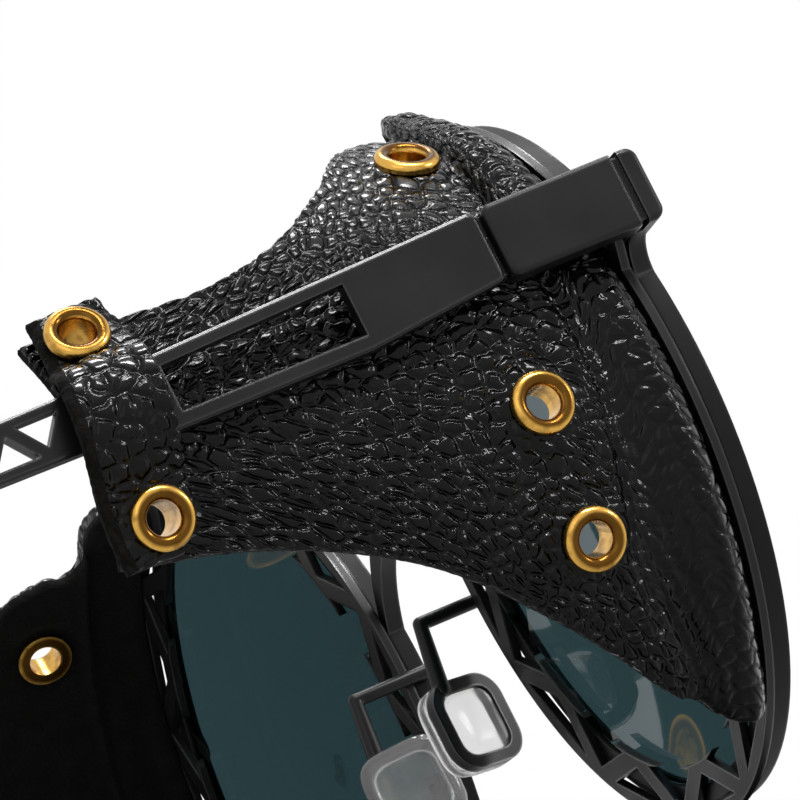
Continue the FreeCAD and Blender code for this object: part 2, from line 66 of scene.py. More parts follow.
# Leather panel: arcs about an axis that rises towards the rear
panel_radius = 28.2 * MM
panel_side = 28.7 * MM
panel_rise = 11.9 * MM
panel_thickness = 1.3 * MM
panel_shares = (
    # along the panel, arc radius, side offset, rise of the arc centre, thickness
    (0.0, 0.965, 0.948, 0.0, 1.3),
    (0.045, 1.018, 1.0, 0.0, 1.75),
    (0.09, 1.022, 1.006, 0.01, 1.7),
    (0.125, 1.005, 0.99, 0.025, 1.15),
    (0.18, 1.03, 0.995, 0.05, 1.05),
    (0.26, 1.04, 1.008, 0.1, 1.0),
    (0.36, 1.01, 1.01, 0.2, 1.0),
    (0.48, 0.957, 1.003, 0.336, 1.0),
    (0.64, 0.887, 1.0, 0.479, 1.0),
    (0.82, 0.8, 1.0, 0.613, 1.0),
    (1.0, 0.71, 1.0, 0.714, 1.0),
)
panel_edges_deg = (
    # top and bottom edge at each row of the shares
    (76.0, -60.0),
    (77.0, -60.0),
    (75.0, -58.0),
    (65.0, -54.0),
    (61.5, -49.0),
    (56.8, -41.0),
    (46.0, -34.0),
    (36.5, -27.5),
    (30.0, -23.0),
    (29.5, -21.5),
    (32.0, -22.5),
)
rear_trim = (
    # share from the bottom edge to the top one, how much earlier the rear edge ends
    (0.0, 0.0),
    (0.5, 1.4 * MM),
    (1.0, 1.07 * MM),
)
panel_rows = 270
panel_columns = 290
edge_round = 0.35 * MM
edge_share = 0.35
fray_size = 0.4 * MM
fray_depth = 0.05 * MM
fray_seeds = {"top": 31.0, "bottom": 37.0, "rear": 41.0, "strap_front": 43.0, "strap_rear": 47.0}

# Rolled hem behind the ring, the hollow and the crease that follow it, and its two thick ends
hem_nose = 1.0 * MM
hem_width = 2.4 * MM
hem_end_round = 1.3 * MM
hollow_depth = 0.55 * MM
hollow_angles = (math.radians(28), math.radians(4))
crease_depth = 0.5 * MM
crease_width = 0.4 * MM
crease_places = (
    # angle round the ring in degrees, distance behind the rim's front
    (-60.0, 8.2 * MM),
    (-49.0, 8.7 * MM),
    (-27.0, 11.2 * MM),
    (0.0, 8.6 * MM),
    (49.0, 7.5 * MM),
    (76.0, 7.4 * MM),
)
wrinkle_depth = 0.13 * MM
wrinkle_length = 1.2 * MM
wrinkle_reach = 3.5 * MM
wrinkle_angles = (math.radians(-12), math.radians(-38))
swell_rise = 0.35 * MM
swell_angles = (math.radians(35), math.radians(52))
knob_rise = 0.3 * MM
knob_angles = (math.radians(66.5), math.radians(70.5))
curl_rise = 0.5 * MM
curl_angles = (math.radians(-46), math.radians(-57))
sag_size = 9.0 * MM
sag_depth = 0.25 * MM
sag_seed = 3.0

# Grain of the leather, and where its tops are rubbed to a gloss
pebble_size = 1.2 * MM
pebble_depth = 0.16 * MM
pebble_bump = 0.15 * MM
pebble_stretch = 1.35
pebble_randomness = 0.95
warp_scale = 6.0
warp_detail = 3.0
warp_share = 0.12
groove_share = 0.3
dome_share = 0.3
dome_reach = 0.8
fine_grain_share = 0.06
rubbed_heights = (0.4, 0.9)
rubbed_ior = 1.8
rubbed_roughness = 0.15
hem_rub_angles = (math.radians(2), math.radians(-22))
top_rub = 0.6
top_rub_angles = (math.radians(28), math.radians(42))
hem_grain = 0.55
hem_grain_angles = (math.radians(45), math.radians(20))
flat_unit = 10 * MM

# Eyelet holes and the leather that rises under their flanges
hole_radius = 1.7 * MM
flange_radius = 2.4 * MM
press_rise = 0.15 * MM
press_reach = 3.5 * MM

# Strap over the temple: a tab on the panel at each rear eyelet, and the line of its inner side between them
strap_seat_gap = 0.35 * MM
strap_top_tab = 3.0 * MM
strap_bottom_tab = 2.9 * MM
strap_tab_share = 0.92
strap_tabs = {
    # share along the panel, angle round it, reach above the eyelet and below it
    "top": (0.9, math.radians(25), strap_top_tab, strap_tab_share * strap_top_tab),
    "bottom": (0.92, math.radians(-13), strap_tab_share * strap_bottom_tab, strap_bottom_tab),
}
strap_crest = (
    # distance out from the middle of the face, height above the ring's centre
    (67.75 * MM, 14.4 * MM),
    (68.9 * MM, 12.6 * MM),
    (69.3 * MM, 9.8 * MM),
    (68.1 * MM, 7.6 * MM),
)
strap_thickness = 1.0 * MM
strap_bend = 1.6 * MM
strap_bend_share = 0.45
strap_bend_steps = 9
strap_rear_round = 1.8 * MM
strap_edges = (
    # share of the route from the top, front edge and rear edge behind the rim's front
    (0.0, 39.2 * MM, 44.9 * MM),
    (0.2, 38.8 * MM, 45.6 * MM),
    (0.4, 39.4 * MM, 46.8 * MM),
    (0.6, 40.0 * MM, 47.4 * MM),
    (0.75, 40.2 * MM, 47.4 * MM),
    (0.93, 41.2 * MM, 47.4 * MM),
    (1.0, 42.6 * MM, 47.2 * MM),
)
strap_rub = 0.7
strap_rub_place_share = 0.3
strap_rub_reach_share = 0.1
strap_rows = 150
strap_columns = 80

# Most values of a noise lie in this span
noise_span = (0.3, 0.7)

# Leather: its grain side and its flesh side
leather_dark = (0.0008, 0.0008, 0.0008)
leather_light = (0.003, 0.0029, 0.0028)
leather_roughness = (0.1, 0.2)
leather_shine = 0.15
leather_fine_scale = 55.0
leather_patch_scale = 1.2
flesh_dark = (0.0015, 0.0013, 0.0012)
flesh_light = (0.009, 0.008, 0.0075)
flesh_roughness = (0.8, 1.0)
flesh_shine = 0.08
flesh_sheen = 0.03
flesh_fuzz_scale = 4000.0
flesh_fuzz_depth = 0.12 * MM
flesh_nap_scale = 700.0

# Metal and plastic: their edges catch the light as if slightly rounded, and are polished by wear
metal_edge = 0.3 * MM
metal_edge_samples = 6
metal_patch_scale = 160.0
metal_dust_scale = 9000.0
metal_dust_depth = 0.004 * MM
edge_flatness = (0.95, 0.995)
edge_roughness_share = 0.6
edge_coat_roughness = 0.2

# Brass of the eyelets: stained, with painted shade in its corners and a painted dark reflection in a ring
# round the eyelet's axis
brass_dark = (0.07, 0.025, 0.003)
brass_light = (0.7, 0.4, 0.085)
brass_roughness = (0.3, 0.16)
stain_scale = 900.0
stain_span = (0.3, 0.55)
stain_share = 0.5
scratch_scale = 5000.0
scratch_depth = 0.006 * MM
corner_shade_reach = 0.9 * MM
corner_shade_samples = 8
corner_shade_span = (0.25, 0.9)
dark_reflection_inside = (1.28 * MM, 1.42 * MM)
dark_reflection_outside = (1.85 * MM, 2.15 * MM)
dark_reflection_share = 0.92

# Lenses and nose pads: clear, with a faint cloudiness
lens_dark = (0.023, 0.05, 0.057)
lens_light = (0.027, 0.057, 0.065)
lens_roughness = (0.01, 0.03)
lens_cloud_scale = 40.0
silicone_dark = (0.8, 0.8, 0.8)
silicone_light = (0.9, 0.9, 0.9)
silicone_roughness = (0.08, 0.2)
silicone_clearness = 0.9
silicone_cloud_scale = 350.0
clear_ior = 1.35

# Nose pads: sections from the plug's face to the slab's crown
pad_turn = math.radians(21.9)
pad_columns = 96
pad_corner_power = 4.0
pad_sections = (
    # share of the depth, how far the outline lies inside the slab's
    (-0.02, 3.2 * MM),
    (-0.015, 2.2 * MM),
    (0.0, 1.4 * MM),
    (0.05, 1.12 * MM),
    (0.12, 1.05 * MM),
    (0.355, 1.05 * MM),
    (0.368, 0.7 * MM),
    (0.372, 0.3 * MM),
    (0.4, 0.1 * MM),
    (0.48, 0.0),
    (0.7, 0.0),
    (0.85, 0.12 * MM),
    (0.95, 0.45 * MM),
    (1.0, 1.1 * MM),
    (1.02, 2.2 * MM),
    (1.03, 3.2 * MM),
)

# Camera, lamps, floor and the room around them
photo_width = 800
camera_azimuth = math.radians(247.91)
camera_elevation = math.radians(-10.69)
camera_roll = math.radians(-26.82)
camera_distance = 0.9
focal_pixels = 12718.23
sensor_width = 0.036
camera_target = Vector((-60.0 * MM, rim_front + 20.67 * MM, ring_z + 5.58 * MM))
lamps = (
    # name, direction along the picture's right, up and back, distance, width, height, power in watts
    ("rear", -0.17, 0.85, -0.5, 4.5, 1.44, 0.72, 82.0),
    ("top", 0.1, 0.97, 0.2, 4.5, 2.5, 0.27, 207.0),
    ("side", 1.0, 0.7, 0.15, 5.4, 0.72, 0.72, 75.0),
    ("fill", -0.5, 0.6, 1.0, 5.4, 3.6, 3.6, 26.0),
)
room_light = 0.08
floor_size = 6.0
floor_dark = (0.66, 0.66, 0.65)
floor_light = (0.7, 0.7, 0.69)
floor_roughness = 0.9
floor_grit_scale = 30.0


def smooth(table, places):
    """The columns of a table at each place along its first column, on a smooth curve through its rows."""
    rows = np.array(table)
    stations = rows[:, 0]
    index = np.clip(np.searchsorted(stations, places) - 1, 0, len(stations) - 2)
    width = stations[index + 1] - stations[index]
    t = (places - stations[index]) / width
    columns = []
    for values in rows.T[1:]:
        slope = np.gradient(values, stations)
        first, last = values[index], values[index + 1]
        rise = (t**3 - 2 * t**2 + t) * width * slope[index] + (t**3 - t**2) * width * slope[index + 1]
        columns.append(first + (last - first) * (3 * t**2 - 2 * t**3) + rise)
    return columns


def step(values, start, end):
    """A smooth step from 0 at the start to 1 at the end, which may lie on either side of it."""
    t = np.clip((values - start) / (end - start), 0, 1)
    return t * t * (3 - 2 * t)


def rounded(distance, radius):
    """The profile of a rounded edge: 0 at the edge and 1 from the radius on."""
    return np.sqrt(1 - (1 - np.clip(distance / radius, 0, 1)) ** 2)


def ridge(distance, width):
    return np.exp(-((distance / width) ** 2))


def ripples(points, size, seed):
    """Smooth noise from -1 to 1 at each point of a grid, with bumps of about that size."""
    offset = Vector((seed, seed / 2, -seed))
    flat = points.reshape(-1, 3) / size
    return np.array([noise.noise(Vector(p) + offset) for p in flat]).reshape(points.shape[:-1])


def frayed(line, edge):
    """How far the fibres of a cut edge stand out along its line."""
    return fray_depth * ripples(line, fray_size, fray_seeds[edge])


def axis_of(node):
    """Centre and direction of the axis of a turned CAD node."""
    points = np.array([v.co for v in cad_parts[node].data.vertices])
    spread, directions = np.linalg.eigh(np.cov(points.T))
    alone = 0 if spread[1] - spread[0] > spread[2] - spread[1] else 2
    return (points.min(0) + points.max(0)) / 2, directions[:, alone]


def off_axis(points, axis):
    """Distance of each point from an axis, the way out from it, and the foot on it.

    A point far along the axis counts as far from it.
    """
    centre, direction = axis
    along = (points - centre) @ direction
    foot = centre + along[..., None] * direction
    away = points - foot
    distance = np.linalg.norm(away, axis=-1)
    near = np.abs(along) < 2 * flange_radius
    return np.where(near, distance, panel_length), away / distance[..., None], foot


def pressed(points, axes):
    """How much an eyelet's flange lies on the leather: 1 under it, falling to 0 a little way out."""
    share = np.zeros(points.shape[:-1])
    for axis in axes:
        share = np.maximum(share, step(off_axis(points, axis)[0], press_reach, flange_radius))
    return share


def shell(name, outer, inner, lengths, grain, polish, raw, holes, side):
    """A closed leather shell between its grain side and flesh side, with cut edges and hole walls."""
    rows, columns = outer.shape[:2]
    count = rows * columns
    in_hole = np.zeros((rows, columns), bool)
    for axis in holes:
        within = off_axis((outer + inner) / 2, axis)[0] < hole_radius
        in_hole |= within
        layers = []
        for layer in (outer, inner):
            away, foot = off_axis(layer, axis)[1:]
            layers.append(np.where(within[..., None], foot + away * hole_radius, layer))
        outer, inner = layers
    points = np.concatenate([outer.reshape(-1, 3), inner.reshape(-1, 3)])
    points[:, 0] *= side

    grid = np.arange(count).reshape(rows, columns)
    quads = np.stack([grid[:-1, :-1], grid[1:, :-1], grid[1:, 1:], grid[:-1, 1:]], -1).reshape(-1, 4)
    kept = quads[~in_hole.ravel()[quads].all(1)]
    first, second = kept.ravel(), np.roll(kept, -1, 1).ravel()
    lone = ~np.isin(first * count + second, second * count + first)
    walls = np.stack([second, first, first + count, second + count], -1)[lone]
    faces = np.concatenate([kept, kept[:, ::-1] + count, walls])
    flesh = np.ones(len(faces), np.int32)
    flesh[:len(kept)] = raw.ravel()[kept].all(1)
    used, faces = np.unique(faces, return_inverse=True)
    faces = faces.reshape(-1, 4)[:, ::side]

    mesh = bpy.data.meshes.new(name)
    mesh.from_pydata(points[used].tolist(), [], faces.tolist())
    flat = np.tile(np.stack(lengths, -1).reshape(-1, 2), (2, 1))[used] / flat_unit
    layer = mesh.uv_layers.new(name="leather")
    layer.data.foreach_set("uv", flat[faces.ravel()].astype(np.float32).ravel())
    for attribute, values in (("grain_share", grain), ("polish", polish)):
        layer = mesh.attributes.new(attribute, "FLOAT", "POINT")
        layer.data.foreach_set("value", np.concatenate([values.ravel(), 0 * values.ravel()])[used])
    mesh.materials.append(leather)
    mesh.materials.append(flesh_side)
    mesh.polygons.foreach_set("material_index", flesh)
    mesh.polygons.foreach_set("use_smooth", np.ones(len(faces), bool))
    mesh.update()
    made = bpy.data.objects.new(name, mesh)
    bpy.context.scene.collection.objects.link(made)
    made.modifiers.new("grain", "NODES").node_group = grain_nodes
    made.data = bpy.data.meshes.new_from_object(made.evaluated_get(bpy.context.evaluated_depsgraph_get()))
    made.modifiers.clear()
    return made


def hem_shape(angle, from_front, behind_fold, on_hem):
    """How far the hem, the hollow, the crease and the wrinkles stand out from the panel, mostly inwards."""
    hollow = step(from_front, hem_width - hem_nose, hem_width + hem_nose) * step(behind_fold, 0, -hem_nose)
    lift = -hollow_depth * hollow * step(angle, *hollow_angles)
    lift = lift - crease_depth * ridge(behind_fold, crease_width)
    waves = np.cos(2 * math.pi * behind_fold / wrinkle_length) - 1
    near = ridge(behind_fold, wrinkle_reach) * step(from_front, hem_width, hem_width + 2 * hem_nose)
    lift = lift + wrinkle_depth * waves * near * step(angle, *wrinkle_angles)
    lift = lift + on_hem * (swell_rise * step(angle, *swell_angles) + knob_rise * step(angle, *knob_angles))
    on_roll = step(from_front, hem_width, hem_nose)
    return lift + curl_rise * on_roll * step(angle, *curl_angles)


def panel(name, side, holes):
    """The leather panel on one side, built on the left and mirrored for the right."""
    along = np.linspace(0, 1, panel_rows)
    across = np.linspace(0, 1, panel_columns)
    table = [shares + edges for shares, edges in zip(panel_shares, panel_edges_deg)]
    radius, offset, rise, depth, top, bottom = [c[:, None] for c in smooth(table, along)]
    arc = radius * panel_radius
    line = np.stack([along * 0, along * panel_length, along * 0], -1)
    top = np.radians(top) + frayed(line, "top")[:, None] / arc
    bottom = np.radians(bottom) + frayed(line, "bottom")[:, None] / arc
    angle = bottom + (top - bottom) * across
    rim = np.stack([across * 0, across * panel_length, across * 0], -1)
    length = panel_length - smooth(rear_trim, across)[0] - fray_depth - frayed(rim, "rear")
    y = panel_start + along[:, None] * length
    centre_x = -ring_x + offset * panel_side - arc
    centre_z = ring_z + rise * panel_rise

    def at(distance):
        return np.stack([centre_x + distance * np.cos(angle), y, centre_z + distance * np.sin(angle)], -1)

    surface = at(arc + 0 * angle)
    run = np.linalg.norm(np.diff(surface, axis=1), axis=-1)
    arc_run = np.concatenate([np.zeros((panel_rows, 1)), np.cumsum(run, axis=1)], axis=1)
    middle = arc_run - arc_run[:, -1:] / 2
    to_edge = np.minimum(arc_run, arc_run[:, -1:] - arc_run)
    from_front = y - panel_start
    to_rear = (1 - along)[:, None] * length
    places = np.array(crease_places)
    behind_fold = y - rim_front - np.interp(np.degrees(angle), places[:, 0], places[:, 1])
    on_hem = step(behind_fold, 0, -crease_width)
    full = depth * panel_thickness
    cut = edge_share + (1 - edge_share) * rounded(np.minimum(to_edge, to_rear), edge_round)
    hem_cut = rounded(to_edge, hem_end_round)
    edges = np.minimum(rounded(from_front, hem_nose), cut + (hem_cut - cut) * on_hem)
    shrink = full * (1 - edges) / 2

    lift = hem_shape(angle, from_front, behind_fold, on_hem)
    lift = lift - sag_depth * (0.5 + 0.5 * ripples(surface, sag_size, sag_seed))
    seat = pressed(surface, [a for n, a in holes.items() if "front" in n])
    lift = lift * (1 - seat) + press_rise * seat
    outer = at(arc - shrink + lift)
    inner = at(arc - full + shrink + lift)
    stretched = step(behind_fold, 2 * hem_nose, -hem_nose) * step(angle, *hem_grain_angles)
    grain = (1 - seat / 2) * (1 - (1 - hem_grain) * stretched)
    hem_polish = ridge(from_front - hem_nose, hem_nose / 2) * step(angle, *hem_rub_angles)
    top_polish = top_rub * step(angle, *top_rub_angles) * step(behind_fold, -hem_nose, hem_nose)
    polish = np.maximum(hem_polish, top_polish)
    row_run = np.linalg.norm(np.diff(outer, axis=0), axis=-1)
    from_start = np.concatenate([np.zeros((1, panel_columns)), np.cumsum(row_run, axis=0)])
    raw = np.zeros(angle.shape, bool)
    return shell(name, outer, inner, (middle, from_start), grain, polish, raw, list(holes.values()), side)


def on_panel(share, angle):
    """A point of the panel's plain outer side, straight between the rows of its shares."""
    stations, *columns = np.array(panel_shares).T[:4]
    radius, offset, rise = [np.interp(share, stations, column) for column in columns]
    arc = radius * panel_radius
    x = -ring_x + offset * panel_side - arc + arc * math.cos(angle)
    return np.array([x, share * panel_length, rise * panel_rise + arc * math.sin(angle)])


def strap_tab(share, angle, above, below):
    """The upper and lower end of the strap's inner side where it lies on the panel at an eyelet."""
    reach = flange_radius / panel_length
    turn = flange_radius / panel_radius
    lengthwise = on_panel(share + reach, angle) - on_panel(share - reach, angle)
    upwards = on_panel(share, angle + turn) - on_panel(share, angle - turn)
    normal = np.cross(lengthwise, upwards)
    normal /= np.linalg.norm(normal)
    seat = on_panel(share, angle) + strap_seat_gap * normal
    up = np.array([-normal[2], 0, normal[0]])
    return [(seat + up * above)[[0, 2]], (seat - up * below)[[0, 2]]]


def strap(name, side, holes):
    """The strap that goes over the temple and holds the panel's rear end."""
    corner_shade = [*strap_tab(*strap_tabs["top"]), *strap_crest, *strap_tab(*strap_tabs["bottom"])]
    points = np.round(corner_shade, micrometre_digits)
    route = [points[0]]
    for before, corner, after in zip(points, points[1:], points[2:]):
        into, out = before - corner, after - corner
        start = corner + into * min(strap_bend / np.linalg.norm(into), strap_bend_share)
        end = corner + out * min(strap_bend / np.linalg.norm(out), strap_bend_share)
        for t in np.linspace(0, 1, strap_bend_steps):
            route.append((1 - t) ** 2 * start + 2 * t * (1 - t) * corner + t**2 * end)
    route = np.array(route + [points[-1]])
    steps = np.concatenate([[0], np.cumsum(np.linalg.norm(np.diff(route, axis=0), axis=1))])
    share = np.linspace(0, 1, strap_rows)
    inner_x = np.interp(share * steps[-1], steps, route[:, 0])
    inner_z = np.interp(share * steps[-1], steps, route[:, 1])
    way = np.stack([np.gradient(inner_x), np.gradient(inner_z)], -1)
    way /= np.linalg.norm(way, axis=1)[:, None]
    normal_x, normal_z = -way[:, 1], way[:, 0]
    front, rear = [c[:, None] for c in smooth(strap_edges, share)]
    line = np.stack([share * 0, share * steps[-1], share * 0], -1)
    front = front + frayed(line, "strap_front")[:, None]
    rear = rear + frayed(line, "strap_rear")[:, None]
    across = np.linspace(0, 1, strap_columns)
    y = rim_front + front + (rear - front) * across

    def at(distance):
        x = inner_x[:, None] + normal_x[:, None] * distance
        z = ring_z + inner_z[:, None] + normal_z[:, None] * distance
        return np.stack([x, y, z], -1)

    to_end = np.minimum(share, 1 - share)[:, None] * steps[-1]
    to_rear = (1 - across) * (rear - front)
    front_cut = rounded(np.minimum(across * (rear - front), to_end), edge_round)
    cut = edge_share + (1 - edge_share) * np.minimum(front_cut, rounded(to_rear, strap_rear_round))
    shrink = strap_thickness * (1 - cut) / 2
    surface = at(strap_thickness + 0 * y)
    seat = pressed(surface, list(holes.values()))
    along = np.broadcast_to(share[:, None] * steps[-1], y.shape)
    outer = at(strap_thickness - shrink + press_rise * seat)
    raw = to_rear < strap_rear_round / 2
    polish = strap_rub * ridge(share - strap_rub_place_share, strap_rub_reach_share)[:, None] + 0 * y
    return shell(name, outer, at(shrink), (along, y), 1 - seat / 2, polish, raw, list(holes.values()), side)


def nose_cushion(name, node, side):
    """A soft pad: a plug that fills its frame, and a crowned slab on the nose side."""
    turn = pad_turn * -side
    directions = np.array([
        (math.cos(turn), math.sin(turn), 0), (-math.sin(turn), math.cos(turn), 0), (0, 0, 1)])
    points = np.array([v.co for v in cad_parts[node].data.vertices]) @ directions.T
    low, high = points.min(0), points.max(0)
    plug, crown = (low[0], high[0]) if side < 0 else (high[0], low[0])
    around = np.linspace(0, 2 * math.pi, pad_columns, endpoint=False)
    outline = np.stack([np.cos(around), np.sin(around)], -1)
    outline = np.sign(outline) * np.abs(outline) ** (2 / pad_corner_power)
    rings = []
    for share, inset in pad_sections:
        size = (high[1:] - low[1:]) / 2 - inset
        depth = np.full((pad_columns, 1), plug + (crown - plug) * share)
        rings.append(np.concatenate([depth, (low[1:] + high[1:]) / 2 + outline * size], axis=1))
    local = np.concatenate(rings)
    grid = np.arange(len(local)).reshape(len(rings), pad_columns)
    after = np.roll(grid, -1, 1)
    faces = np.stack([grid[:-1], after[:-1], after[1:], grid[1:]], -1).reshape(-1, 4)[:, ::-side].tolist()
    faces += [grid[0, ::side].tolist(), grid[-1, ::-side].tolist()]
    mesh = bpy.data.meshes.new(name)
    mesh.from_pydata((local @ directions).tolist(), [], faces)
    mesh.materials.append(silicone)
    mesh.polygons.foreach_set("use_smooth", np.ones(len(faces), bool))
    mesh.update()
    made = bpy.data.objects.new(name, mesh)
    bpy.context.scene.collection.objects.link(made)
    return made


def blank(name):
    made = bpy.data.materials.new(name)
    made.use_nodes = True
    return made, made.node_tree, made.node_tree.nodes["Principled BSDF"]


def add(tree, kind, inputs=None, **settings):
    """A node with these settings; an input is a value, or another node's output to link."""
    node = tree.nodes.new(kind)
    for key, value in settings.items():
        setattr(node, key, value)
    for key, value in (inputs or {}).items():
        if isinstance(value, bpy.types.NodeSocket):
            tree.links.new(value, node.inputs[key])
        else:
            node.inputs[key].default_value = value
    return node


def coords(tree, kind):
    return add(tree, "ShaderNodeTexCoord").outputs[kind]


def speckle(tree, vector, scale, detail=3.0):
    inputs = {"Vector": vector, "Scale": scale, "Detail": detail}
    return add(tree, "ShaderNodeTexNoise", inputs).outputs["Fac"]


def mapped(tree, value, low, high, to_low, to_high):
    inputs = {"Value": value, "From Min": low, "From Max": high, "To Min": to_low, "To Max": to_high}
    return add(tree, "ShaderNodeMapRange", inputs, interpolation_type="SMOOTHSTEP").outputs["Result"]


def maths(tree, operation, first, second):
    return add(tree, "ShaderNodeMath", {0: first, 1: second}, operation=operation).outputs[0]


def tint(tree, value, first, last):
    """A colour between two, by a value from 0 to 1."""
    ramp = add(tree, "ShaderNodeValToRGB", {"Fac": value})
    for element, colour in zip(ramp.color_ramp.elements, (first, last)):
        element.color = (*colour, 1)
    return ramp.outputs["Color"]


def raise_by(tree, shader, height, distance, normal=None):
    inputs = {"Height": height, "Distance": distance}
    if normal:
        inputs["Normal"] = normal
    tree.links.new(add(tree, "ShaderNodeBump", inputs).outputs["Normal"], shader.inputs["Normal"])


def pebbles(tree, flat):
    """Height of the leather's grain, from 0 in its grooves to 1 on its domed pebbles."""
    warp = add(tree, "ShaderNodeTexNoise", {"Vector": flat, "Scale": warp_scale, "Detail": warp_detail})
    moved = {0: warp.outputs["Color"], 1: (warp_share, warp_share, 0.0), 2: flat}
    bent = add(tree, "ShaderNodeVectorMath", moved, operation="MULTIPLY_ADD").outputs["Vector"]
    narrow = {0: bent, 1: (1.0, 1 / pebble_stretch, 1.0)}
    vector = add(tree, "ShaderNodeVectorMath", narrow, operation="MULTIPLY").outputs["Vector"]
    inputs = {"Vector": vector, "Scale": flat_unit / pebble_size, "Randomness": pebble_randomness}
    to_edge = add(tree, "ShaderNodeTexVoronoi", inputs, feature="DISTANCE_TO_EDGE", voronoi_dimensions="2D")
    to_middle = add(tree, "ShaderNodeTexVoronoi", inputs, feature="F1", voronoi_dimensions="2D")
    edge = mapped(tree, to_edge.outputs["Distance"], 0.0, groove_share, 0.0, 1 - dome_share)
    dome = mapped(tree, to_middle.outputs["Distance"], 0.0, dome_reach, dome_share, 0.0)
    return maths(tree, "ADD", edge, dome)


def make_grain_nodes():
    """Presses the grain into a leather mesh along its normals."""
    tree = bpy.data.node_groups.new("leather_grain", "GeometryNodeTree")
    for way in ("INPUT", "OUTPUT"):
        tree.interface.new_socket("Geometry", in_out=way, socket_type="NodeSocketGeometry")
    mesh = add(tree, "NodeGroupInput").outputs[0]
    flat = add(tree, "GeometryNodeInputNamedAttribute", {"Name": "leather"}, data_type="FLOAT_VECTOR")
    share = add(tree, "GeometryNodeInputNamedAttribute", {"Name": "grain_share"}, data_type="FLOAT")
    sunk = maths(tree, "SUBTRACT", pebbles(tree, flat.outputs["Attribute"]), 1.0)
    depth = maths(tree, "MULTIPLY", sunk, maths(tree, "MULTIPLY", share.outputs["Attribute"], pebble_depth))
    normal = add(tree, "GeometryNodeInputNormal").outputs["Normal"]
    offset = add(tree, "ShaderNodeVectorMath", {0: normal, "Scale": depth}, operation="SCALE")
    moved = add(tree, "GeometryNodeSetPosition", {"Geometry": mesh, "Offset": offset.outputs["Vector"]})
    add(tree, "NodeGroupOutput", {0: moved.outputs["Geometry"]})
    return tree


def make_leather():
    made, tree, shader = blank("black_pebbled_leather")
    flat = coords(tree, "UV")
    share = add(tree, "ShaderNodeAttribute", attribute_name="grain_share").outputs["Fac"]
    grain = pebbles(tree, flat)
    fine = maths(tree, "MULTIPLY", speckle(tree, flat, leather_fine_scale), fine_grain_share)
    patches = speckle(tree, flat, leather_patch_scale)
    height = maths(tree, "ADD", maths(tree, "MULTIPLY", grain, share), fine)
    # The leather's colour is darker in the grain's grooves, which is painted shade, and in random patches,
    # which is its own tone.
    shaded_grooves_and_patches = maths(tree, "MULTIPLY", grain, patches)
    tree.links.new(tint(tree, shaded_grooves_and_patches, leather_dark, leather_light), shader.inputs["Base Color"])
    tree.links.new(mapped(tree, patches, *noise_span, *leather_roughness), shader.inputs["Roughness"])
    polish = add(tree, "ShaderNodeAttribute", attribute_name="polish").outputs["Fac"]
    rubbed = maths(tree, "MULTIPLY", polish, mapped(tree, grain, *rubbed_heights, 0.0, 1.0))
    tree.links.new(rubbed, shader.inputs["Coat Weight"])
    shader.inputs["Coat Roughness"].default_value = rubbed_roughness
    shader.inputs["Coat IOR"].default_value = rubbed_ior
    shader.inputs["Specular IOR Level"].default_value = leather_shine
    raise_by(tree, shader, height, pebble_bump)
    return made


def make_flesh_side():
    made, tree, shader = blank("black_flesh_side")
    place = coords(tree, "Object")
    fuzz = speckle(tree, place, flesh_fuzz_scale)
    nap = speckle(tree, place, flesh_nap_scale)
    tree.links.new(tint(tree, fuzz, flesh_dark, flesh_light), shader.inputs["Base Color"])
    tree.links.new(mapped(tree, nap, *noise_span, *flesh_roughness), shader.inputs["Roughness"])
    shader.inputs["Specular IOR Level"].default_value = flesh_shine
    shader.inputs["Sheen Weight"].default_value = flesh_sheen
    raise_by(tree, shader, fuzz, flesh_fuzz_depth)
    return made


def make_metal(name, dark, light, roughness, metallic, shine, edge_coat):
    """A hard finish, of metal or plastic, with edges that catch the light."""
    made, tree, shader = blank(name)
    place = coords(tree, "Object")
    patches = speckle(tree, place, metal_patch_scale)
    dust = speckle(tree, place, metal_dust_scale, detail=1.0)
    tree.links.new(tint(tree, patches, dark, light), shader.inputs["Base Color"])
    shader.inputs["Metallic"].default_value = metallic
    bevel = add(tree, "ShaderNodeBevel", {"Radius": metal_edge}, samples=metal_edge_samples)
    rounded_edges = bevel.outputs["Normal"]
    sides = {0: rounded_edges, 1: add(tree, "ShaderNodeNewGeometry").outputs["Normal"]}
    flatness = add(tree, "ShaderNodeVectorMath", sides, operation="DOT_PRODUCT").outputs["Value"]
    rough = mapped(tree, patches, *noise_span, *roughness)
    polished = mapped(tree, flatness, *edge_flatness, edge_roughness_share, 1.0)
    tree.links.new(maths(tree, "MULTIPLY", rough, polished), shader.inputs["Roughness"])
    tree.links.new(mapped(tree, flatness, *edge_flatness, edge_coat, 0.0), shader.inputs["Coat Weight"])
    shader.inputs["Coat Roughness"].default_value = edge_coat_roughness
    shader.inputs["Specular IOR Level"].default_value = shine
    raise_by(tree, shader, dust, metal_dust_depth, rounded_edges)
    return made


